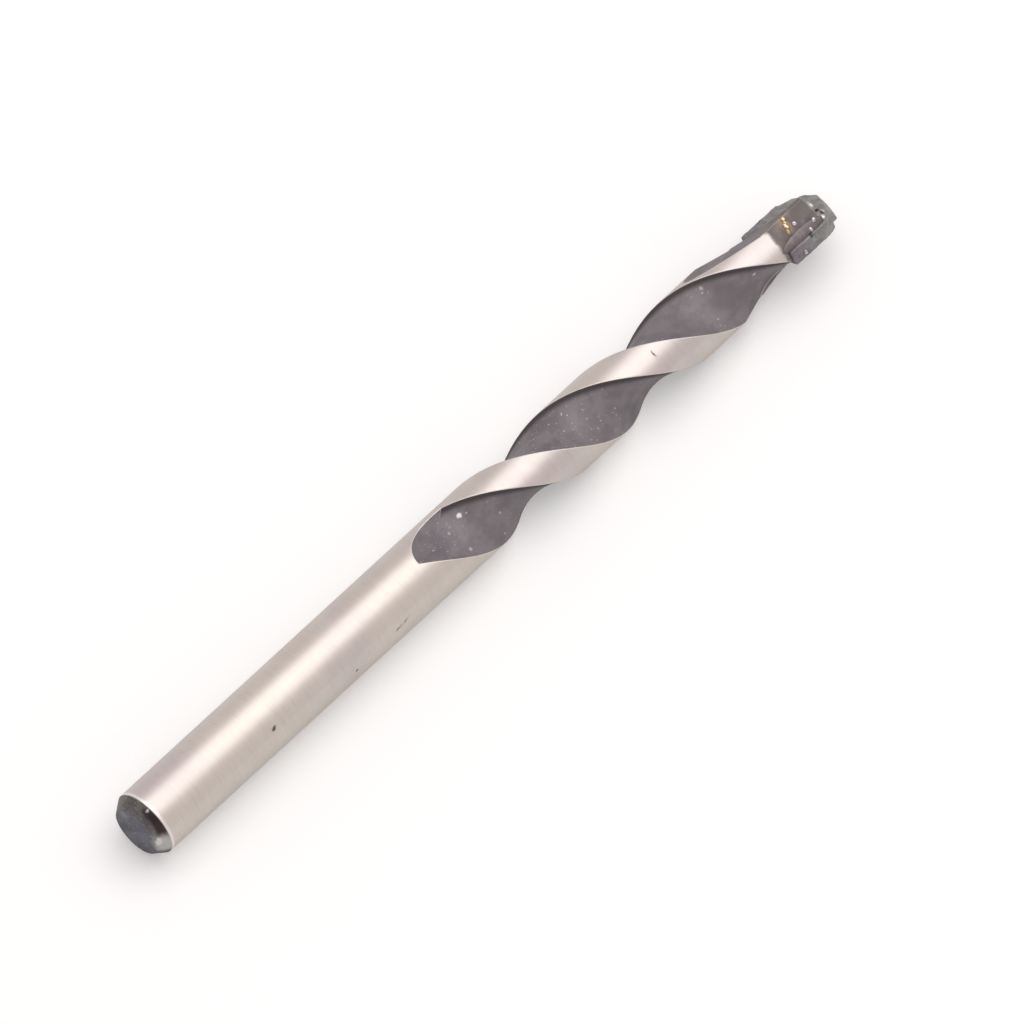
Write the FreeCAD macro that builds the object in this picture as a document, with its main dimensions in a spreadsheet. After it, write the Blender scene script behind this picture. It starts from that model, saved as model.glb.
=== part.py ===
"""Masonry drill bit: a two-flute steel drill with a brazed carbide plate across its point.

Millimetres. X runs along the bit, from the flat shank end at x = 0 to the point, and Z is up.
The bit lies on its side, so its ground cylinder touches the ground at z = -body_dia / 2.
Every piece is modelled with the plate's width along its own Y axis and its thickness along Z,
and is then turned about X by roll_angle, the way the bit lies.
"""

import FreeCAD, Part
import os

import Sketcher
from FreeCAD import Placement, Rotation, Vector

PARTS_FOLDER = "parts"
ALONG = Vector(1, 0, 0)

SIZES = [
    ("total_length", 120.0, "flat shank end to point"),
    ("body_dia", 8.8, "ground cylinder: shank and lands"),
    ("cutting_dia", 10.0, "across the plate's outer ends"),
    ("shank_chamfer_length", 1.55, "along the axis"),
    ("shank_chamfer_depth", 1.05, "in from the ground cylinder"),
    ("flute_start", 51.9, "where the cutter leaves the flute's full depth"),
    ("flute_start_angle", -70.0, "about X, from the plate's width direction"),
    ("flute_start_tilt", 26.0, "turn of the cutter's form from the axial plane, about its depth"),
    ("flute_lead", 42.5, "advance for one turn, right-handed"),
    ("flute_turns", 1.339, "from the run-out to the head"),
    ("flute_width", 8.8, "of the cutter's form, at the ground surface"),
    ("core_radius", 2.45, "axis to the deepest line of a flute"),
    ("runout_slope", 45.0, "how steeply the cutter climbs out of the steel"),
    ("head_web", 2.2, "axis to the gullet's corner, along the plate"),
    ("gullet_start", 117.4, "where the head's straight gullet reaches full depth"),
    ("gullet_runout_radius", 33.0, "curve that leads the gullet in from the flute"),
    ("gullet_lean", 38.0, "lean of the gullet's flank from the plate's face"),
    ("heel_start", 98.3, "where the heel flat begins to cut into the ground surface"),
    ("heel_level_start", 109.0, "where the heel flat runs level"),
    ("heel_height", 3.2, "axis to the heel flat"),
    ("heel_angle", 76.0, "which way the heel flat faces, from the plate's width direction"),
    ("point_angle", 132.0, "between the two cutting edges"),
    ("plate_thickness", 2.0, "carbide plate"),
    ("plate_height", 9.75, "seat to point"),
    ("plate_proud", 1.7, "point of the plate above the steel's own cone"),
    ("relief_angle", 20.0, "fall of the roof behind each cutting edge"),
    ("corner_wear", 0.8, "taken off the outer corners by use, across the axis"),
    ("corner_wear_length", 1.28, "the same wear along the axis"),
    ("chip_radius", 1.2, "chip broken out of one outer corner"),
    ("chip_inset", 0.5, "chip's centre inside the cutting diameter"),
    ("chip_drop", 1.3, "chip's centre below the point"),
    ("braze_gap", 0.1, "alloy between plate and slot, at each face and the seat"),
    ("roll_angle", 146.4, "turn about X, as the bit lies"),
]

# How far each cut reaches past the surface that it opens through.
CLEAR = "1.0"

doc = FreeCAD.newDocument("masonry_drill_bit")
sheet = doc.addObject("Spreadsheet::Sheet", "sizes")
for row, (alias, value, note) in enumerate(SIZES, start=1):
    sheet.set(f"A{row}", alias)
    sheet.set(f"B{row}", str(value))
    sheet.set(f"C{row}", note)
    sheet.setAlias(f"B{row}", alias)
doc.recompute()


def value_of(expression):
    """Number that an expression of the sheet gives now."""
    result = sheet.evalExpression(expression)
    return float(getattr(result, "Value", result))


def lay_down(piece):
    """Turn a piece about X, the way the bit lies."""
    piece.Placement = Placement(Vector(0, 0, 0), Rotation(ALONG, 1))
    piece.setExpression(".Placement.Rotation.Angle", "sizes.roll_angle * 1deg")


def origin_feature(body, role):
    """One of the body's own origin planes or axes."""
    return next(item for item in body.Origin.OriginFeatures if item.Role == role)


def new_body(name):
    body = doc.addObject("PartDesign::Body", name)
    lay_down(body)
    return body


def new_sketch(body, name, plane):
    """Sketch lying on one of the body's origin planes."""
    sketch = body.newObject("Sketcher::SketchObject", name)
    sketch.AttachmentSupport = [(origin_feature(body, plane), "")]
    sketch.MapMode = "FlatFace"
    return sketch


def dimension(sketch, kind, where, expression):
    """Driving constraint whose value follows an expression of the sheet."""
    index = sketch.addConstraint(Sketcher.Constraint(kind, *where, value_of(expression)))
    sketch.setExpression(f"Constraints[{index}]", expression)


def place_point(sketch, geometry, position, across, up):
    """Hold one point of a sketch at two distances from the sketch's origin."""
    dimension(sketch, "DistanceX", (-1, 1, geometry, position), across)
    dimension(sketch, "DistanceY", (-1, 1, geometry, position), up)


def chain(sketch, count, kind="Coincident"):
    """Join each line or arc of a closed outline to the next one, the first joint of a kind."""
    for i in range(count):
        joint = kind if i == 0 else "Coincident"
        sketch.addConstraint(Sketcher.Constraint(joint, i, 2, (i + 1) % count, 1))


def polygon(sketch, corners):
    """Closed outline of straight lines. Each corner is a pair of expressions."""
    points = [Vector(value_of(across), value_of(up), 0) for across, up in corners]
    count = len(points)
    lines = [Part.LineSegment(points[i], points[(i + 1) % count]) for i in range(count)]
    sketch.addGeometry(lines, False)
    chain(sketch, count)
    for i, (across, up) in enumerate(corners):
        place_point(sketch, i, 1, across, up)


def bar_with_ends(body):
    """Turned bar: wide chamfer at the shank end, cone at the head."""
    sketch = new_sketch(body, "bar_profile", "XY_Plane")
    radius = "sizes.body_dia / 2"
    cone_point = "sizes.total_length - sizes.plate_proud"
    cone_length = "sizes.body_dia / 2 / tan(sizes.point_angle / 2)"
    polygon(sketch, [
        ("0", "0"),
        (cone_point, "0"),
        (f"{cone_point} - {cone_length}", radius),
        ("sizes.shank_chamfer_length", radius),
        ("0", f"{radius} - sizes.shank_chamfer_depth"),
    ])
    bar = body.newObject("PartDesign::Revolution", "bar")
    bar.Profile = sketch
    bar.ReferenceAxis = (origin_feature(body, "X_Axis"), [""])
    bar.Angle = 360
    return bar


def flute_sketch(body):
    """Round-bottomed cutter form, drawn in the axial plane where the flute starts."""
    sketch = new_sketch(body, "flute_form", "XY_Plane")
    sketch.setExpression(
        "AttachmentOffset",
        "create(<<placement>>; create(<<vector>>; sizes.flute_start; 0; 0);"
        " create(<<rotation>>; create(<<vector>>; 1; 0; 0); sizes.flute_start_angle)"
        " * create(<<rotation>>; create(<<vector>>; 0; 1; 0); sizes.flute_start_tilt))")
    aside = "(sizes.flute_width / 2 * sin(sizes.flute_start_tilt))"
    depth = f"(sqrt((sizes.body_dia / 2)^2 - {aside}^2) - sizes.core_radius)"
    form_radius = f"((sizes.flute_width / 2)^2 + {depth}^2) / (2 * {depth})"
    top = f"sizes.body_dia / 2 + {CLEAR}"
    radius = value_of(form_radius)
    centre = Vector(0, value_of("sizes.core_radius") + radius, 0)
    rise = centre.y - value_of(top)
    half = (radius ** 2 - rise ** 2) ** 0.5
    left = Vector(-half, value_of(top), 0)
    right = Vector(half, value_of(top), 0)
    bottom = Vector(0, value_of("sizes.core_radius"), 0)
    sketch.addGeometry([Part.Arc(left, bottom, right), Part.LineSegment(right, left)], False)
    chain(sketch, 2)
    sketch.addConstraint(Sketcher.Constraint("Horizontal", 1))
    sketch.addConstraint(Sketcher.Constraint("PointOnObject", 0, 3, -2))
    dimension(sketch, "Radius", (0,), form_radius)
    dimension(sketch, "DistanceY", (-1, 1, 0, 3), f"sizes.core_radius + {form_radius}")
    dimension(sketch, "DistanceY", (-1, 1, 1, 1), top)
    return sketch


def helical_flute(body, sketch):
    """The cutter form swept round and along the bar, right-handed."""
    flute = body.newObject("PartDesign::SubtractiveHelix", "flute")
    flute.Profile = (sketch, [""])
    flute.ReferenceAxis = (origin_feature(body, "X_Axis"), [""])
    flute.Mode = "pitch-turns-angle"
    flute.setExpression("Pitch", "sizes.flute_lead")
    flute.setExpression("Turns", "sizes.flute_turns")
    return flute


def flute_runout(body, sketch):
    """Where the cutter climbs out of the steel, square across the bar and rising."""
    runout = body.newObject("PartDesign::Pocket", "flute_runout")
    runout.Profile = (sketch, [""])
    runout.UseCustomVector = True
    runout.AlongSketchNormal = False
    angle = "sizes.flute_start_angle"
    tilt = "sizes.flute_start_tilt"
    slope = "sizes.runout_slope"
    runout.Direction = Vector(0, 1, 0)
    runout.setExpression(".Direction.x", f"-sin({tilt}) * cos({slope})")
    runout.setExpression(
        ".Direction.y", f"cos({tilt}) * cos({slope}) * sin({angle}) + sin({slope}) * cos({angle})")
    runout.setExpression(
        ".Direction.z", f"sin({slope}) * sin({angle}) - cos({tilt}) * cos({slope}) * cos({angle})")
    runout.Type = "Length"
    runout.setExpression("Length", "sizes.body_dia")
    return runout


def head_gullet(body):
    """Straight gullet in front of a cutting edge: one wall is the plate's own face."""
    sketch = new_sketch(body, "gullet_outline", "XY_Plane")
    sketch.AttachmentOffset = Placement(Vector(0, 0, 1), Rotation())
    sketch.setExpression(".AttachmentOffset.Base.z", "sizes.plate_thickness / 2")
    web = "sizes.head_web"
    outside = "sizes.body_dia"
    past_tip = f"sizes.total_length + {CLEAR}"
    bend = "sizes.gullet_runout_radius"
    rise = f"({bend} + {web} - {outside})"
    lead_in = f"sizes.gullet_start - sqrt({bend}^2 - {rise}^2)"
    tangent = Vector(value_of("sizes.gullet_start"), value_of(web), 0)
    corner = Vector(value_of(past_tip), value_of(web), 0)
    far = Vector(value_of(past_tip), value_of(outside), 0)
    entry = Vector(value_of(lead_in), value_of(outside), 0)
    centre = tangent + Vector(0, value_of(bend), 0)
    middle = centre + (tangent + entry - centre * 2).normalize() * value_of(bend)
    sketch.addGeometry([
        Part.Arc(entry, middle, tangent),
        Part.LineSegment(tangent, corner),
        Part.LineSegment(corner, far),
        Part.LineSegment(far, entry),
    ], False)
    chain(sketch, 4, "Tangent")
    sketch.addConstraint(Sketcher.Constraint("Horizontal", 1))
    sketch.addConstraint(Sketcher.Constraint("Vertical", 2))
    sketch.addConstraint(Sketcher.Constraint("Horizontal", 3))
    dimension(sketch, "Radius", (0,), bend)
    dimension(sketch, "DistanceX", (-1, 1, 0, 3), "sizes.gullet_start")
    place_point(sketch, 2, 1, past_tip, web)
    dimension(sketch, "DistanceY", (-1, 1, 3, 1), outside)
    gullet = body.newObject("PartDesign::Pocket", "head_gullet")
    gullet.Profile = (sketch, [""])
    gullet.UseCustomVector = True
    gullet.AlongSketchNormal = False
    gullet.Direction = Vector(0, -1, 1)
    gullet.setExpression(".Direction.y", "-cos(sizes.gullet_lean)")
    gullet.setExpression(".Direction.z", "sin(sizes.gullet_lean)")
    gullet.Type = "Length"
    gullet.setExpression("Length", "2 * sizes.body_dia")
    return gullet


def heel_flat(body):
    """Flat milled along the heel of the head, ramping in from the ground surface."""
    sketch = new_sketch(body, "heel_outline", "XY_Plane")
    sketch.AttachmentOffset = Placement(Vector(), Rotation(ALONG, 1))
    sketch.setExpression(".AttachmentOffset.Rotation.Angle", "sizes.heel_angle * 1deg")
    height = "sizes.heel_height"
    cut = f"(sizes.body_dia / 2 - {height})"
    ramp = f"(sizes.heel_level_start - sizes.heel_start) / {cut}"
    past_tip = f"sizes.total_length + {CLEAR}"
    outside = f"sizes.body_dia / 2 + {CLEAR}"
    polygon(sketch, [
        (f"sizes.heel_start - {CLEAR} * {ramp}", outside),
        ("sizes.heel_level_start", height),
        (past_tip, height),
        (past_tip, outside),
    ])
    flat = body.newObject("PartDesign::Pocket", "heel_flat")
    flat.Profile = (sketch, [""])
    flat.Midplane = True
    flat.Type = "Length"
    flat.setExpression("Length", "2 * sizes.body_dia")
    return flat


def twice_round(body, name, cuts):
    """Repeat cuts on the opposite side of the axis."""
    pattern = body.newObject("PartDesign::PolarPattern", name)
    pattern.Originals = cuts
    pattern.Axis = (origin_feature(body, "X_Axis"), [""])
    pattern.Angle = 360
    pattern.Occurrences = 2
    body.Tip = pattern
    return pattern


def fluted_bar():
    """The steel before its slot is sawn."""
    body = new_body("fluted_bar")
    bar_with_ends(body)
    sketch = flute_sketch(body)
    doc.recompute()
    flute = helical_flute(body, sketch)
    doc.recompute()
    runout = flute_runout(body, sketch)
    doc.recompute()
    gullet = head_gullet(body)
    doc.recompute()
    heel = heel_flat(body)
    doc.recompute()
    twice_round(body, "both_flutes", [flute, runout, gullet, heel])
    return body


def carbide_plate():
    """Roof-pointed plate with a relief behind each cutting edge, worn by use."""
    body = new_body("carbide_tip")
    section = new_sketch(body, "plate_section", "YZ_Plane")
    thick = "sizes.plate_thickness / 2"
    reach = "sqrt((sizes.cutting_dia / 2)^2 - (sizes.plate_thickness / 2)^2)"
    half_width = value_of(reach)
    half_thick = value_of(thick)
    radius = value_of("sizes.cutting_dia / 2")
    right_low = Vector(half_width, -half_thick, 0)
    right_high = Vector(half_width, half_thick, 0)
    left_high = Vector(-half_width, half_thick, 0)
    left_low = Vector(-half_width, -half_thick, 0)
    section.addGeometry([
        Part.Arc(right_low, Vector(radius, 0, 0), right_high),
        Part.LineSegment(right_high, left_high),
        Part.Arc(left_high, Vector(-radius, 0, 0), left_low),
        Part.LineSegment(left_low, right_low),
    ], False)
    chain(section, 4)
    for arc in (0, 2):
        section.addConstraint(Sketcher.Constraint("Coincident", arc, 3, -1, 1))
    for line in (1, 3):
        section.addConstraint(Sketcher.Constraint("Horizontal", line))
    dimension(section, "Radius", (0,), "sizes.cutting_dia / 2")
    dimension(section, "DistanceY", (-1, 1, 1, 1), thick)
    dimension(section, "DistanceY", (3, 1, -1, 1), thick)
    section.AttachmentOffset = Placement(Vector(0, 0, 1), Rotation())
    section.setExpression(".AttachmentOffset.Base.z", "sizes.total_length - sizes.plate_height")
    plate = body.newObject("PartDesign::Pad", "plate")
    plate.Profile = (section, [""])
    plate.setExpression("Length", "sizes.plate_height")
    doc.recompute()
    roof = roof_half(body)
    doc.recompute()
    twice_round(body, "roof", [roof])
    doc.recompute()
    worn_corners(body)
    doc.recompute()
    chipped_corner(body)
    return body


def roof_half(body):
    """Slope behind one cutting edge, ground along the relief."""
    sketch = new_sketch(body, "roof_slope", "XY_Plane")
    fall = "sizes.cutting_dia / tan(sizes.point_angle / 2)"
    over = "(sizes.total_length + sizes.cutting_dia)"
    polygon(sketch, [
        (f"sizes.total_length - {fall}", "sizes.cutting_dia"),
        (f"sizes.total_length + {fall}", "-sizes.cutting_dia"),
        (over, "-sizes.cutting_dia"),
        (over, "sizes.cutting_dia"),
    ])
    roof = body.newObject("PartDesign::Pocket", "roof_half")
    roof.Profile = (sketch, [""])
    roof.UseCustomVector = True
    roof.AlongSketchNormal = False
    roof.Direction = Vector(0, 0, 1)
    roof.setExpression(".Direction.x", "sin(sizes.relief_angle)")
    roof.setExpression(".Direction.z", "cos(sizes.relief_angle)")
    roof.SideType = "Symmetric"
    roof.Type = "Length"
    roof.setExpression("Length", "sizes.cutting_dia")
    return roof


def worn_corners(body):
    """Outer corners rounded by use, turned away about the axis."""
    sketch = new_sketch(body, "wear_profile", "XY_Plane")
    cone = "tan(sizes.point_angle / 2)"
    reach = "sizes.cutting_dia / 2"
    wear = "sizes.corner_wear"
    corner_x = f"(sizes.total_length - {reach} / {cone})"
    slant = f"(sizes.corner_wear_length / {wear} + 1 / {cone})"
    polygon(sketch, [
        (f"{corner_x} - sizes.corner_wear_length - {CLEAR} * {slant}", f"{reach} + {CLEAR}"),
        (f"{corner_x} + {wear} / {cone}", f"{reach} - {wear}"),
        (f"{corner_x} + {wear} + {CLEAR}", f"{reach} - {wear}"),
        (f"{corner_x} + {wear} + {CLEAR}", f"{reach} + {CLEAR}"),
    ])
    wear_cut = body.newObject("PartDesign::Groove", "worn_corners")
    wear_cut.Profile = (sketch, [""])
    wear_cut.ReferenceAxis = (origin_feature(body, "X_Axis"), [""])
    wear_cut.Angle = 360
    return wear_cut


def chipped_corner(body):
    """Shell-shaped chip out of one outer corner, through the plate's thickness."""
    sketch = new_sketch(body, "chip_outline", "XY_Plane")
    along = "sizes.total_length - sizes.chip_drop"
    across = "sizes.cutting_dia / 2 - sizes.chip_inset"
    centre = Vector(value_of(along), value_of(across), 0)
    radius = value_of("sizes.chip_radius")
    sketch.addGeometry(Part.Circle(centre, Vector(0, 0, 1), radius), False)
    dimension(sketch, "Radius", (0,), "sizes.chip_radius")
    place_point(sketch, 0, 3, along, across)
    chip = body.newObject("PartDesign::Pocket", "chip")
    chip.Profile = (sketch, [""])
    chip.SideType = "Symmetric"
    chip.Type = "Length"
    chip.setExpression("Length", "2 * sizes.plate_thickness")
    return chip


def plate_slot():
    """Room that the saw leaves for the plate and its alloy."""
    slot = doc.addObject("Part::Box", "plate_slot")
    lay_down(slot)
    wide = "(sizes.plate_thickness + 2 * sizes.braze_gap)"
    seat = "(sizes.total_length - sizes.plate_height - sizes.braze_gap)"
    slot.setExpression("Length", f"sizes.plate_height + sizes.braze_gap + {CLEAR}")
    slot.setExpression("Width", "2 * sizes.body_dia")
    slot.setExpression("Height", wide)
    angle = "sizes.roll_angle"
    slot.setExpression(".Placement.Base.x", seat)
    slot.setExpression(
        ".Placement.Base.y", f"-sizes.body_dia * cos({angle}) + {wide} / 2 * sin({angle})")
    slot.setExpression(
        ".Placement.Base.z", f"-sizes.body_dia * sin({angle}) - {wide} / 2 * cos({angle})")
    return slot


def boolean(kind, name, base, tool):
    result = doc.addObject(kind, name)
    result.Base = base
    result.Tool = tool
    return result


bar = fluted_bar()
tip = carbide_plate()
slot = plate_slot()
doc.recompute()
drill = boolean("Part::Cut", "drill_body", bar, slot)
sawn_out = boolean("Part::Common", "sawn_out", bar, slot)
braze = boolean("Part::Cut", "braze_joint", sawn_out, tip)
doc.recompute()

pieces = [drill, tip, braze]
for item in doc.Objects:
    failed = {"Invalid", "Error"} & set(item.State)
    if failed:
        raise RuntimeError(f"{item.Label} did not build: {item.State}")
os.makedirs(PARTS_FOLDER, exist_ok=True)
for piece in pieces:
    if piece.Shape.isNull() or not piece.Shape.isValid():
        raise RuntimeError(f"{piece.Label} has no valid shape")
for piece in pieces:
    piece.Shape.exportStep(f"{PARTS_FOLDER}/{piece.Label}.step")
    box = piece.Shape.BoundBox
    print(piece.Label, "solids", len(piece.Shape.Solids), "volume", round(piece.Shape.Volume, 2),
          "x", round(box.XMin, 2), round(box.XMax, 2), "y", round(box.YMin, 2), round(box.YMax, 2),
          "z", round(box.ZMin, 2), round(box.ZMax, 2))
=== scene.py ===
"""Masonry drill bit: a ground and fluted steel bar with a brazed carbide plate across its head."""

import math

import bpy
from mathutils import Matrix, Vector


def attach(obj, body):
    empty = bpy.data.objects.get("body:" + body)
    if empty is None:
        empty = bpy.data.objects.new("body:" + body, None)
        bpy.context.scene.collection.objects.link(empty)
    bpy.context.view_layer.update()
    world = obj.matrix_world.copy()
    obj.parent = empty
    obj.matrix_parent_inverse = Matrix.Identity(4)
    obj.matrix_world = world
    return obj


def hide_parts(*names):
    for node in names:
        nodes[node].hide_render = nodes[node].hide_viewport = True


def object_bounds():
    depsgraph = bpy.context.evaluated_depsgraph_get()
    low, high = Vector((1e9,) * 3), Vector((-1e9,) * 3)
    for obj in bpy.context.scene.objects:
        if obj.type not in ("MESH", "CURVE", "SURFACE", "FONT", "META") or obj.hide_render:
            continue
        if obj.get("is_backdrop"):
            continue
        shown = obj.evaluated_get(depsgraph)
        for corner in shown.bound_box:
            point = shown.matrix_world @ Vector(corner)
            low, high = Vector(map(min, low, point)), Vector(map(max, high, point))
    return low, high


MM = 0.001

# Sizes of the bar that the finishes follow, in millimetres.
BODY_RADIUS = 4.4
CHAMFER_LENGTH = 1.55
HEAD_START = 100.0
HEAT_LINE = 109.8
SOOT_LINE = 112.6

# The plate's more worn outer corner: its place on the bar, and how far the wear reaches.
WORN_CORNER_ALONG = 118.0
WORN_CORNER_ANGLE = 326.4
WORN_CORNER_RADIUS = 4.3
WORN_CORNER_REACH = 1.9

# Size of the grain that the plate is remeshed to, and depth and size of its chipped unevenness.
PLATE_GRAIN = 0.1
CHIP_DEPTH = 0.16
CHIP_SIZE = 0.9

# Marks: distance along the axis, angle about it and radius of each mark's middle, then its length,
# width and slant in degrees, and its colour. First the pits and scuffs of use on the shank.
SHANK_MARKS = (
    (20.3, 139.8, 4.4, 1.1, 0.6, 30.0, "#75685f"),
    (33.7, 166.8, 4.4, 0.6, 0.45, 0.0, "#7d7068"),
    (41.0, 160.4, 4.4, 1.8, 0.3, 16.0, "#958a83"),
    (42.3, 158.8, 4.4, 2.2, 0.26, 22.0, "#8d827b"),
    (88.5, 108.5, 4.4, 0.4, 1.4, 0.0, "#8b6f66"),
)

# Bright dots in the flutes, where scale has come off the milled steel.
FLUTE_MARKS = (
    (56.7, 78.4, 3.1, 0.9, 0.8, 0.0, "#f4ecf2"),
    (57.6, 84.0, 3.0, 0.5, 0.4, 0.0, "#b8afb6"),
    (51.2, 95.4, 2.7, 0.6, 0.5, 0.0, "#b8afb1"),
    (54.3, 88.2, 2.5, 0.5, 0.5, 0.0, "#aaa1a4"),
    (54.8, 148.9, 3.5, 0.7, 0.6, 0.0, "#bdb4b6"),
    (61.0, 142.6, 2.5, 0.5, 0.5, 0.0, "#b3aaad"),
    (105.5, 125.6, 3.3, 0.9, 0.6, 30.0, "#c2b8ba"),
    (99.5, 72.2, 3.5, 0.7, 0.6, 0.0, "#b9b0b2"),
)

# Shank end: dark scale left on the chamfer, and the places where use has rubbed it bare.
END_MARKS = (
    (1.1, 104.0, 4.1, 1.2, 3.0, 0.0, "#453d3c"),
    (1.1, 124.0, 4.1, 1.6, 4.6, 0.0, "#30262a"),
    (1.0, 142.0, 4.1, 1.6, 3.6, 0.0, "#3d3030"),
    (1.2, 99.0, 4.2, 1.1, 0.5, 0.0, "#c9c5c2"),
    (0.9, 172.0, 4.0, 3.6, 4.4, 0.0, "#bcbdb9"),
    (0.3, 160.0, 3.6, 1.2, 1.8, 0.0, "#d6d6d2"),
    (0.0, 150.0, 3.2, 0.9, 1.2, 0.0, "#8d8e90"),
    (0.0, 40.0, 2.6, 0.8, 1.6, 0.0, "#85878c"),
)

# Stains and soot round the drops on the head, on the steel and on the plate.
HEAD_MARKS = (
    (112.4, 99.0, 4.4, 1.5, 3.4, 0.0, "#a08c74"),
    (113.5, 112.0, 4.4, 1.6, 1.8, 0.0, "#6d6872"),
    (115.0, 124.0, 4.4, 1.8, 2.6, 0.0, "#66636c"),
    (111.6, 126.0, 4.4, 2.0, 1.8, 0.0, "#655f63"),
)
PLATE_MARKS = (
    (117.5, 117.5, 2.1, 1.0, 1.0, 0.0, "#2e2725"),
    (113.9, 137.0, 4.8, 0.8, 0.8, 0.0, "#3a3336"),
    (117.0, 124.0, 2.9, 1.4, 1.2, 0.0, "#a9a39f"),
)

# Frozen drops on the head: name, distance along the axis, angle about it, length round the bar,
# width and height in millimetres.
BRAZE_RUNS = (
    ("braze_run_top", 112.75, 89.0, 0.75, 0.65, 0.16),
    ("braze_run_upper", 112.55, 95.5, 0.7, 0.5, 0.12),
    ("braze_run_middle", 112.3, 102.5, 1.15, 0.75, 0.2),
    ("braze_run_foot", 112.05, 110.5, 0.9, 0.55, 0.14),
)
HEAD_BEADS = (
    ("bead_by_run", 113.3, 107.0, 0.65, 0.6, 0.24),
    ("bead_on_seam", 114.4, 131.5, 0.85, 0.75, 0.42),
    ("bead_at_corner", 115.5, 123.0, 0.8, 0.7, 0.36),
    ("bead_on_plate", 116.75, 131.8, 1.1, 0.85, 0.42),
    ("bead_near_point", 117.7, 127.3, 0.8, 0.6, 0.3),
    ("bead_on_cone", 116.9, 100.0, 1.3, 0.8, 0.36),
    ("bead_at_seat", 112.1, 149.9, 0.6, 0.45, 0.18),
)

# Braze in the corner between plate and gullet: name, middle along the axis, length, angle about the
# axis, distance from it and thickness. Its ripples are as wide as RIPPLE_SIZE, and as deep as this
# share of its thickness.
GULLET_SEAM = ("gullet_seam_far", 113.4, 6.2, -9.2, 2.45, 0.5)
RIPPLE_SIZE = 1.7
RIPPLE_SHARE = 0.3
SEAM_GRAIN = 0.05

# Flat run of braze along the back of the plate, given as the frozen drops are.
BACKING_RUN = ("backing_seam_near", 113.2, 129.5, 1.9, 7.0, 0.26)

# Studio, in metres and watts: one soft lamp, a pale room and a white floor.
SOFTBOX_PLACE = (0.42, 0.02, 0.92)
SOFTBOX_AIM = (0.06, 0, 0)
SOFTBOX_SIZE = (1.1, 0.9)
SOFTBOX_POWER = 3.6
ROOM_STRENGTH = 0.89
FLOOR_SIZE = 4.0
FLOOR_GLOW = 0.23

# Camera: the side it stands on, how far off, and the width of the field at the bit.
VIEW_TILT = 22.335
VIEW_HEIGHT = 67.507
VIEW_DISTANCE = 4.0
FIELD_WIDTH = 0.121876
SENSOR_WIDTH = 36.0
AIM_ALONG = 63.065
AIM_BELOW = 2.175
PICTURE_AXIS_ANGLE = 42.407
NEAREST_SEEN = 0.05
FARTHEST_SEEN = 20


def linear(code):
    """sRGB hex code as a linear colour with alpha."""
    def channel(pair):
        value = int(pair, 16) / 255
        return value / 12.92 if value <= 0.04045 else ((value + 0.055) / 1.055) ** 2.4

    digits = code.lstrip("#")
    return tuple(channel(digits[i:i + 2]) for i in (0, 2, 4)) + (1.0,)


def add_node(material, kind, settings=None, **links):
    """One node with its settings and inputs: a socket is linked, anything else is a value."""
    tree = material.node_tree
    node = tree.nodes.new(kind)
    for name, value in (settings or {}).items():
        setattr(node, name, value)
    for name, value in links.items():
        key = int(name[1:]) if name[0] == "i" and name[1:].isdigit() else name.replace("_", " ")
        socket = node.inputs[key]
        if isinstance(value, bpy.types.NodeSocket):
            tree.links.new(value, socket)
        else:
            socket.default_value = value
    return node


def new_material(name):
    """Node material with nothing in it yet."""
    material = bpy.data.materials.new(name)
    material.use_nodes = True
    material.node_tree.nodes.clear()
    return material


def finish_surface(material, shader):
    """Joins the shader to the material's output."""
    add_node(material, "ShaderNodeOutputMaterial", Surface=shader)


def mixed(material, mask, first, second):
    """Colour that goes from first to second where the mask is 1, each a socket or a hex code."""
    ends = [linear(end) if isinstance(end, str) else end for end in (first, second)]
    return add_node(material, "ShaderNodeMix", {"data_type": "RGBA"},
                    i0=mask, i6=ends[0], i7=ends[1]).outputs[2]


def ramp(material, value, start, end, low=0.0, high=1.0):
    """Value that goes smoothly from low to high as the input goes from start to end."""
    return add_node(material, "ShaderNodeMapRange", {"interpolation_type": "SMOOTHSTEP"},
                    Value=value, From_Min=start, From_Max=end, To_Min=low, To_Max=high).outputs[0]


def arithmetic(material, operation, first, second):
    return add_node(material, "ShaderNodeMath", {"operation": operation},
                    i0=first, i1=second).outputs[0]


def noise(material, place, size_mm, detail=3.0, roughness=0.5):
    """Cloudy pattern whose patches are about size_mm across."""
    return add_node(material, "ShaderNodeTexNoise", Vector=place, Scale=1000 / size_mm,
                    Detail=detail, Roughness=roughness).outputs[0]


def scaled(material, place, factors):
    return add_node(material, "ShaderNodeVectorMath", {"operation": "MULTIPLY"},
                    i0=place, i1=factors).outputs[0]


def uneven(material, place, size_mm, reach_mm):
    """The place moved about by up to half of reach_mm, so that what follows it has torn edges."""
    cloud = add_node(material, "ShaderNodeTexNoise", Vector=place, Scale=1000 / size_mm,
                     Detail=2.0).outputs[1]
    shift = add_node(material, "ShaderNodeVectorMath", {"operation": "SUBTRACT"},
                     i0=cloud, i1=(0.5, 0.5, 0.5)).outputs[0]
    shift = scaled(material, shift, (reach_mm * MM,) * 3)
    return add_node(material, "ShaderNodeVectorMath", {"operation": "ADD"},
                    i0=place, i1=shift).outputs[0]


def on_bar(along, angle, radius=BODY_RADIUS):
    """Point on the bar, from its distance along the axis in millimetres and its angle about it."""
    turn = math.radians(angle)
    return Vector((along, radius * math.cos(turn), radius * math.sin(turn))) * MM


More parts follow.
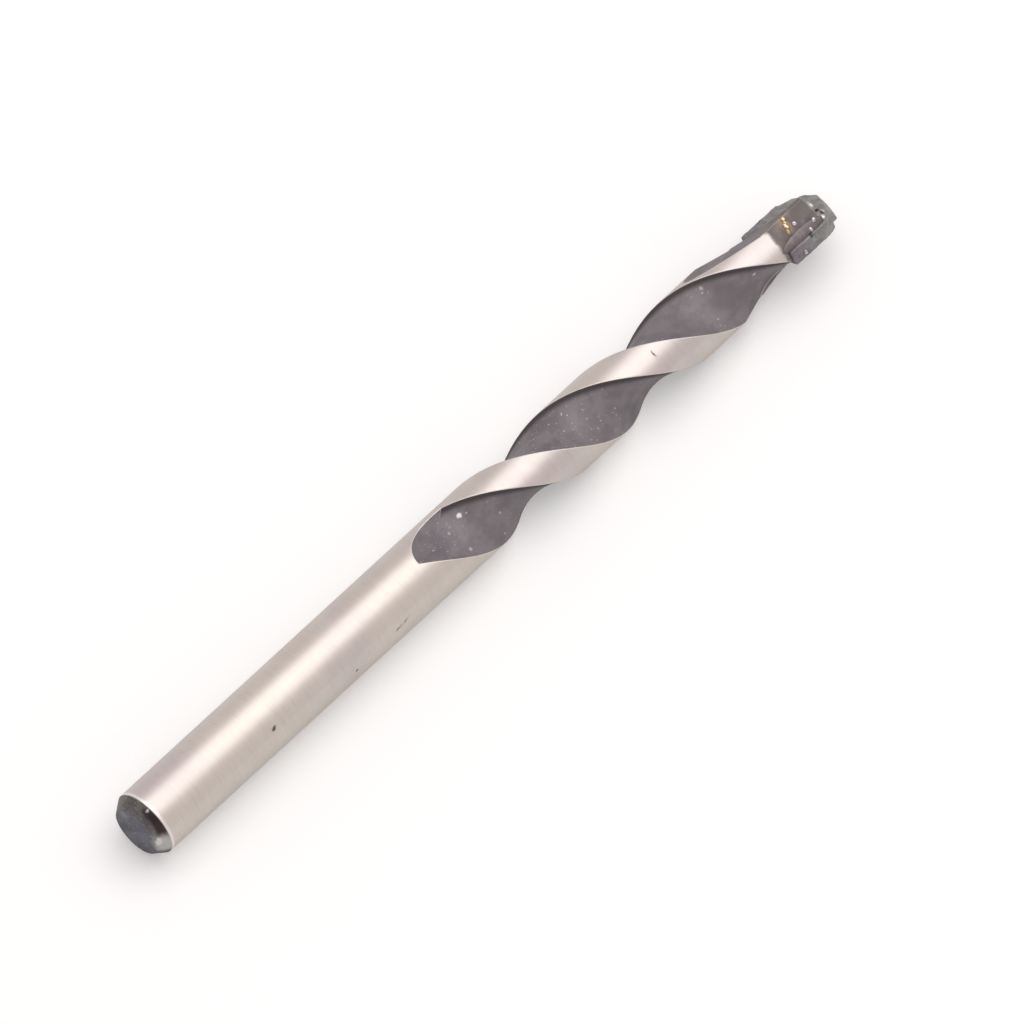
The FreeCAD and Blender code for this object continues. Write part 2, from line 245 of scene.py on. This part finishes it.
def spot(material, place, centre, length, width, slant=0.0):
    """Mask of one small oval mark on the bar: long along the axis, then turned by slant."""
    moved = add_node(material, "ShaderNodeVectorMath", {"operation": "SUBTRACT"},
                     i0=place, i1=centre).outputs[0]
    around = math.atan2(centre.z, centre.y)
    turn = Matrix.Rotation(-around, 3, "X")
    flat = add_node(material, "ShaderNodeMapping", {"vector_type": "TEXTURE"}, Vector=moved,
                    Rotation=turn.inverted().to_euler()).outputs[0]
    shaped = add_node(material, "ShaderNodeMapping", {"vector_type": "TEXTURE"}, Vector=flat,
                      Rotation=(0, math.radians(slant), 0),
                      Scale=(length * MM / 2, width * MM / 2, width * MM / 2)).outputs[0]
    reach = add_node(material, "ShaderNodeVectorMath", {"operation": "LENGTH"}, i0=shaped)
    return ramp(material, reach.outputs["Value"], 1.0, 0.35)


def marked(material, place, colour, marks):
    """Colour with small marks, each given by its place on the bar and its size in millimetres."""
    for along, angle, radius, length, width, slant, ink in marks:
        mark = spot(material, place, on_bar(along, angle, radius), length, width, slant)
        colour = mixed(material, mark, colour, ink)
    return colour


def worn_edges(material, reach_mm):
    """Rounded shading of the edges, and a mask of them: 1 where the surface turns sharply."""
    rounded = add_node(material, "ShaderNodeBevel", {"samples": 12},
                       Radius=reach_mm * MM).outputs[0]
    true = add_node(material, "ShaderNodeNewGeometry").outputs["Normal"]
    agree = add_node(material, "ShaderNodeVectorMath", {"operation": "DOT_PRODUCT"},
                     i0=rounded, i1=true).outputs["Value"]
    return rounded, ramp(material, agree, 0.992, 0.955)


def steel_material():
    """Tool steel bar: ground bright on its round outside, left dark and satin from the mill in
    the flutes and on the shank's end, and heated brown and blue around the brazed head."""
    material = new_material("ground_tool_steel")
    place = add_node(material, "ShaderNodeTexCoord").outputs["Object"]
    along = add_node(material, "ShaderNodeSeparateXYZ", Vector=place).outputs[0]
    across = scaled(material, place, (0.0, 1.0, 1.0))
    radius = add_node(material, "ShaderNodeVectorMath", {"operation": "LENGTH"},
                      i0=across).outputs["Value"]
    mottle = noise(material, place, 3.0, 4.0, 0.6)
    broad = noise(material, place, 14.0, 2.0, 0.5)
    fine = noise(material, place, 0.35, 2.0, 0.6)
    clusters = noise(material, place, 6.0, 2.0, 0.5)
    rounded, edges = worn_edges(material, 0.2)
    torn = uneven(material, place, 0.7, 0.45)

    on_land = ramp(material, radius, (BODY_RADIUS - 0.08) * MM, (BODY_RADIUS - 0.03) * MM)
    past_chamfer = ramp(material, along, (CHAMFER_LENGTH - 0.12) * MM, (CHAMFER_LENGTH + 0.12) * MM)
    at_end = arithmetic(material, "SUBTRACT", 1.0, past_chamfer)
    centred = arithmetic(material, "SUBTRACT", mottle, 0.5)
    ragged = arithmetic(material, "MULTIPLY", centred, 2.2 * MM)
    heat_edge = arithmetic(material, "ADD", along, ragged)
    heated = ramp(material, heat_edge, (HEAT_LINE - 0.35) * MM, (HEAT_LINE + 0.35) * MM)
    cool = arithmetic(material, "SUBTRACT", 1.0, heated)
    ground = arithmetic(material, "MULTIPLY", on_land, past_chamfer)
    ground = arithmetic(material, "MULTIPLY", ground, cool)

    grinding = noise(material, scaled(material, place, (1.0, 0.04, 0.04)), 0.18, 2.0, 0.7)
    bright = mixed(material, ramp(material, broad, 0.4, 0.6), "#d5cdc9", "#dad3ca")
    bright = mixed(material, ramp(material, mottle, 0.4, 0.7, 0.0, 0.35), bright, "#e2dcd5")
    bright = mixed(material, ramp(material, grinding, 0.45, 0.8, 0.0, 0.3), bright, "#bfb6b2")
    # Painted highlight: a pale ring round the bar just past the chamfer stands in for the bright
    # line of light on the ground rim.
    painted_highlight_ring = ramp(material, along, (CHAMFER_LENGTH + 0.55) * MM, (CHAMFER_LENGTH + 0.2) * MM)
    bright = mixed(material, painted_highlight_ring, bright, "#f6f0ea")
    bright = marked(material, torn, bright, SHANK_MARKS)

    milled = mixed(material, ramp(material, mottle, 0.35, 0.65), "#797478", "#8a8487")
    specks = arithmetic(material, "MULTIPLY", ramp(material, fine, 0.66, 0.71),
                        ramp(material, clusters, 0.48, 0.58))
    milled = mixed(material, specks, milled, "#c9c0be")
    milled = marked(material, torn, milled, FLUTE_MARKS)
    # Painted shade: the upper flute wall that faces towards the shank end, under each land's edge,
    # is darkened to stand in for its shade.
    facing = add_node(material, "ShaderNodeSeparateXYZ", Vector=rounded).outputs[0]
    high_wall = ramp(material, radius, (BODY_RADIUS - 1.0) * MM, (BODY_RADIUS - 0.3) * MM)
    painted_shade_under_land = arithmetic(material, "MULTIPLY", ramp(material, facing, -0.22, -0.42), high_wall)
    milled = mixed(material, painted_shade_under_land, milled, "#4c4747")
    sawn = mixed(material, ramp(material, mottle, 0.35, 0.65), "#5f6068", "#73757c")
    chamfer = ramp(material, along, 0.03 * MM, 0.12 * MM)
    scale = mixed(material, ramp(material, mottle, 0.4, 0.6), "#5c5857", "#7b7876")
    sawn = mixed(material, chamfer, sawn, scale)
    sawn = mixed(material, ramp(material, fine, 0.55, 0.72, 0.0, 0.55), sawn, "#9b9b99")
    sawn = marked(material, torn, sawn, END_MARKS)
    burnt = mixed(material, ramp(material, mottle, 0.4, 0.62), "#716a66", "#888079")
    burnt = marked(material, torn, burnt, HEAD_MARKS)

    dark = mixed(material, at_end, milled, sawn)
    dark = mixed(material, heated, dark, burnt)
    colour = mixed(material, ground, dark, bright)
    # Edges on the outside and on the head are painted pale and patchy: partly real wear of the
    # steel's edges, partly a painted highlight along them.
    outside = ramp(material, radius, (BODY_RADIUS - 0.9) * MM, (BODY_RADIUS - 0.5) * MM)
    on_head = ramp(material, along, HEAD_START * MM, (HEAD_START + 3) * MM)
    outside = arithmetic(material, "MAXIMUM", outside, on_head)
    worn_and_highlighted_edges = arithmetic(material, "MULTIPLY", edges, outside)
    patchy = ramp(material, mottle, 0.35, 0.6, 0.3, 0.85)
    worn_and_highlighted_edges = arithmetic(material, "MULTIPLY", worn_and_highlighted_edges, patchy)
    colour = mixed(material, worn_and_highlighted_edges, colour, "#ece6e1")
    rough = ramp(material, ground, 0.0, 1.0, 0.58, 0.42)
    metal = ramp(material, ground, 0.0, 1.0, 0.55, 1.0)
    shader = add_node(material, "ShaderNodeBsdfPrincipled", Base_Color=colour,
                      Metallic=metal, Roughness=rough, Normal=rounded)
    finish_surface(material, shader.outputs[0])
    return material


def carbide_material():
    """Sintered tungsten carbide: fine grey with a faint green cast at the point, sooted blue-grey
    towards its seat, flecked with pale grain and a few dark and pale marks."""
    material = new_material("sintered_carbide")
    place = add_node(material, "ShaderNodeTexCoord").outputs["Object"]
    along = add_node(material, "ShaderNodeSeparateXYZ", Vector=place).outputs[0]
    patches = noise(material, place, 1.3, 4.0, 0.6)
    grain = noise(material, place, 0.22, 2.0, 0.6)
    centred = arithmetic(material, "SUBTRACT", patches, 0.5)
    wander = arithmetic(material, "MULTIPLY", centred, 5.0 * MM)
    toward_point = ramp(material, arithmetic(material, "ADD", along, wander),
                        SOOT_LINE * MM, (SOOT_LINE + 2.2) * MM)
    clean = mixed(material, ramp(material, patches, 0.4, 0.6), "#858583", "#999a97")
    sooted = mixed(material, ramp(material, patches, 0.4, 0.6), "#75727a", "#878285")
    colour = mixed(material, toward_point, sooted, clean)
    colour = mixed(material, ramp(material, grain, 0.58, 0.72, 0.0, 0.5), colour, "#adaeaa")
    colour = marked(material, uneven(material, place, 0.5, 0.3), colour, PLATE_MARKS)
    shader = add_node(material, "ShaderNodeBsdfPrincipled", Base_Color=colour,
                      Metallic=0.6, Roughness=0.44)
    finish_surface(material, shader.outputs[0])
    return material


def bead_material(name, cool, warm):
    """Melted metal that froze in drops: smooth and shiny, its colour changing across each drop."""
    material = new_material(name)
    place = add_node(material, "ShaderNodeTexCoord").outputs["Object"]
    patches = noise(material, place, 0.5, 2.0, 0.5)
    colour = mixed(material, ramp(material, patches, 0.42, 0.58), cool, warm)
    shader = add_node(material, "ShaderNodeBsdfPrincipled", Base_Color=colour,
                      Metallic=1.0, Roughness=0.24)
    finish_surface(material, shader.outputs[0])
    return material


def braze_material():
    """Brass braze under soot: dull grey-brown, a little warmer where less soot lies."""
    material = new_material("brass_braze")
    place = add_node(material, "ShaderNodeTexCoord").outputs["Object"]
    patches = noise(material, place, 1.2, 3.0, 0.6)
    colour = mixed(material, ramp(material, patches, 0.5, 0.68), "#7f787a", "#8f8680")
    shader = add_node(material, "ShaderNodeBsdfPrincipled", Base_Color=colour,
                      Metallic=0.8, Roughness=0.5)
    finish_surface(material, shader.outputs[0])
    return material


def camera_side():
    """Direction from the bit to the camera."""
    tilt, height = math.radians(VIEW_TILT), math.radians(VIEW_HEIGHT)
    return Vector((-math.sin(tilt), -math.cos(tilt) * math.cos(height),
                   math.cos(tilt) * math.sin(height)))


def add_camera():
    side = camera_side()
    turn = (-side).to_track_quat("-Z", "Y")
    right, up = turn @ Vector((1, 0, 0)), turn @ Vector((0, 1, 0))
    slant = math.radians(PICTURE_AXIS_ANGLE)
    below = right * math.sin(slant) - up * math.cos(slant)
    aim = Vector((AIM_ALONG * MM, 0, 0)) + below * AIM_BELOW * MM
    data = bpy.data.cameras.new("camera")
    data.sensor_width = SENSOR_WIDTH
    data.lens = SENSOR_WIDTH * VIEW_DISTANCE / FIELD_WIDTH
    data.clip_start = NEAREST_SEEN
    data.clip_end = FARTHEST_SEEN
    camera = bpy.data.objects.new("camera", data)
    camera.location = aim + side * VIEW_DISTANCE
    camera.rotation_mode = "QUATERNION"
    camera.rotation_quaternion = turn
    bpy.context.scene.collection.objects.link(camera)
    bpy.context.scene.camera = camera


def only(piece):
    """Selects one piece and makes it the active one."""
    bpy.ops.object.select_all(action="DESELECT")
    piece.select_set(True)
    bpy.context.view_layer.objects.active = piece


def apply_modifier(piece, name, kind, **settings):
    modifier = piece.modifiers.new(name, kind)
    for key, value in settings.items():
        setattr(modifier, key, value)
    only(piece)
    bpy.ops.object.modifier_apply(modifier=name)


def worn_plate(plate, material):
    """The carbide plate with its edges and corners rounded by use and its faces uneven."""
    worn = bpy.data.objects.new("worn_carbide_plate", plate.data.copy())
    bpy.context.scene.collection.objects.link(worn)
    only(worn)
    bpy.ops.object.mode_set(mode="EDIT")
    bpy.ops.mesh.select_all(action="SELECT")
    bpy.ops.mesh.remove_doubles(threshold=0.001 * MM)
    bpy.ops.mesh.select_all(action="DESELECT")
    bpy.ops.object.mode_set(mode="OBJECT")
    apply_modifier(worn, "grain", "REMESH", mode="VOXEL", voxel_size=PLATE_GRAIN * MM)
    apply_modifier(worn, "wear", "SMOOTH", factor=0.5, iterations=30)
    clouds = bpy.data.textures.new("chipping", "CLOUDS")
    clouds.noise_scale = CHIP_SIZE * MM
    clouds.noise_depth = 2
    apply_modifier(worn, "chips", "DISPLACE", texture=clouds, texture_coords="LOCAL",
                   strength=CHIP_DEPTH * MM, mid_level=0.5)
    corner = on_bar(WORN_CORNER_ALONG, WORN_CORNER_ANGLE, WORN_CORNER_RADIUS)
    for vertex in worn.data.vertices:
        vertex.select = (vertex.co - corner).length < WORN_CORNER_REACH * MM
    bpy.ops.object.mode_set(mode="EDIT")
    bpy.ops.mesh.vertices_smooth(factor=0.5, repeat=120)
    bpy.ops.object.mode_set(mode="OBJECT")
    bpy.ops.object.shade_smooth()
    worn.data.materials.clear()
    worn.data.materials.append(material)
    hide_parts(plate.name)
    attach(worn, "root")
    return worn


def seat_on(pieces, along, angle):
    """Point and outward normal where a line from outside the bar towards its axis meets a piece."""
    outside = on_bar(along, angle, 2 * BODY_RADIUS)
    inward = (Vector((along * MM, 0, 0)) - outside).normalized()
    hits = []
    for piece in pieces:
        met, place, normal, _ = piece.ray_cast(outside, inward)
        if met:
            hits.append(((place - outside).length, place, normal))
    _, place, normal = min(hits, key=lambda hit: hit[0])
    return place, normal


def seam_fillet(name, along, length, angle, radius, thick, material):
    """Rounded run of braze, sooted and uneven, in the corner between the plate and the steel."""
    bpy.ops.object.select_all(action="DESELECT")
    centre = on_bar(along, angle, radius)
    bpy.ops.mesh.primitive_cylinder_add(vertices=16, radius=thick / 2 * MM, depth=length * MM,
                                        location=centre, rotation=(0, math.radians(90), 0))
    fillet = bpy.context.object
    fillet.name = name
    bpy.ops.object.transform_apply(location=True, rotation=True, scale=True)
    apply_modifier(fillet, "skin", "REMESH", mode="VOXEL", voxel_size=SEAM_GRAIN * MM)
    ripple = bpy.data.textures.new("ripple", "CLOUDS")
    ripple.noise_scale = RIPPLE_SIZE * MM
    apply_modifier(fillet, "ripples", "DISPLACE", texture=ripple, texture_coords="LOCAL",
                   strength=thick * RIPPLE_SHARE * MM, mid_level=0.5)
    apply_modifier(fillet, "flow", "SMOOTH", factor=0.5, iterations=24)
    bpy.ops.object.shade_smooth()
    fillet.data.materials.append(material)
    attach(fillet, "root")
    return fillet


def opposite(piece, name):
    """Copy of a piece on the other side of the axis, with a mesh of its own."""
    only(piece)
    bpy.ops.object.duplicate()
    copy = bpy.context.object
    copy.name = name
    bpy.ops.transform.rotate(value=math.pi, orient_axis="X", center_override=(0, 0, 0))
    bpy.ops.object.transform_apply(location=True, rotation=True, scale=True)


def frozen_drop(pieces, name, along, angle, length, width, height, material):
    """One drop of melted metal, sunk a little in the surface that it froze on."""
    place, normal = seat_on(pieces, along, angle)
    axis = Vector((1, 0, 0))
    around = normal.cross(axis).normalized()
    turn = Matrix((around, normal.cross(around), normal)).transposed()
    bpy.ops.object.select_all(action="DESELECT")
    bpy.ops.mesh.primitive_ico_sphere_add(
        subdivisions=3, radius=1.0, location=place, rotation=turn.to_euler(),
        scale=(length / 2 * MM, width / 2 * MM, height * MM))
    drop = bpy.context.object
    drop.name = name
    bpy.ops.object.transform_apply(location=True, rotation=True, scale=True)
    bpy.ops.object.shade_smooth()
    drop.data.materials.append(material)
    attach(drop, "root")
    return drop


def add_lamp(name, place, aim, size, power):
    data = bpy.data.lights.new(name, "AREA")
    data.shape = "RECTANGLE"
    data.size, data.size_y = size
    data.energy = power
    lamp = bpy.data.objects.new(name, data)
    lamp.location = place
    lamp.rotation_mode = "QUATERNION"
    lamp.rotation_quaternion = (Vector(aim) - Vector(place)).to_track_quat("-Z", "Y")
    bpy.context.scene.collection.objects.link(lamp)


def add_floor(level):
    bpy.ops.object.select_all(action="DESELECT")
    bpy.ops.mesh.primitive_plane_add(size=FLOOR_SIZE, location=(0, 0, level))
    floor = bpy.context.object
    floor.name = "floor"
    bpy.ops.object.transform_apply(location=True, rotation=True, scale=True)
    material = new_material("white_paper_floor")
    light = add_node(material, "ShaderNodeLightPath")
    shine = add_node(material, "ShaderNodeMath", {"operation": "MULTIPLY"},
                     i0=light.outputs["Is Camera Ray"], i1=FLOOR_GLOW)
    paper = add_node(material, "ShaderNodeBsdfDiffuse", Color=linear("#ebedec"))
    glow = add_node(material, "ShaderNodeEmission", Color=(1, 1, 1, 1), Strength=shine.outputs[0])
    both = add_node(material, "ShaderNodeAddShader", i0=paper.outputs[0], i1=glow.outputs[0])
    finish_surface(material, both.outputs[0])
    floor.data.materials.append(material)
    floor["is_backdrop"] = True


def add_world():
    world = bpy.data.worlds.new("studio")
    world.use_nodes = True
    world.node_tree.nodes["Background"].inputs[0].default_value = linear("#eae2e2")
    world.node_tree.nodes["Background"].inputs[1].default_value = ROOM_STRENGTH
    bpy.context.scene.world = world


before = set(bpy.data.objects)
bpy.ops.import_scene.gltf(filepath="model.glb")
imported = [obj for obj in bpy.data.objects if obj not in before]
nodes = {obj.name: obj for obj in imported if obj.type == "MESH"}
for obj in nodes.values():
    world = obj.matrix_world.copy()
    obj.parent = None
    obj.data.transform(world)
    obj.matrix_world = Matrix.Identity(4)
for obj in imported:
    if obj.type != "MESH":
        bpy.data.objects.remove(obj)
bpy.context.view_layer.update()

carbide = carbide_material()
braze = braze_material()
for name, material in (("drill_body", steel_material()), ("carbide_tip", carbide),
                       ("braze_joint", braze)):
    nodes[name].data.materials.clear()
    nodes[name].data.materials.append(material)

plate = worn_plate(nodes["carbide_tip"], carbide)
head = (nodes["drill_body"], plate)
corner = seam_fillet(*GULLET_SEAM, braze)
opposite(corner, "gullet_seam_near")
backing = frozen_drop(head, *BACKING_RUN, braze)
opposite(backing, "backing_seam_far")
clean_braze = bead_material("clean_brass_braze", "#a08a70", "#dcc6a6")
for run in BRAZE_RUNS:
    frozen_drop(head, *run, clean_braze)
spatter = bead_material("silvery_spatter", "#a8a0a4", "#efe6e4")
for bead in HEAD_BEADS:
    frozen_drop(head, *bead, spatter)

bpy.context.scene.view_settings.view_transform = "Standard"
add_world()
add_floor(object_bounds()[0][2])
add_lamp("overhead_softbox", SOFTBOX_PLACE, SOFTBOX_AIM, SOFTBOX_SIZE, SOFTBOX_POWER)
add_camera()
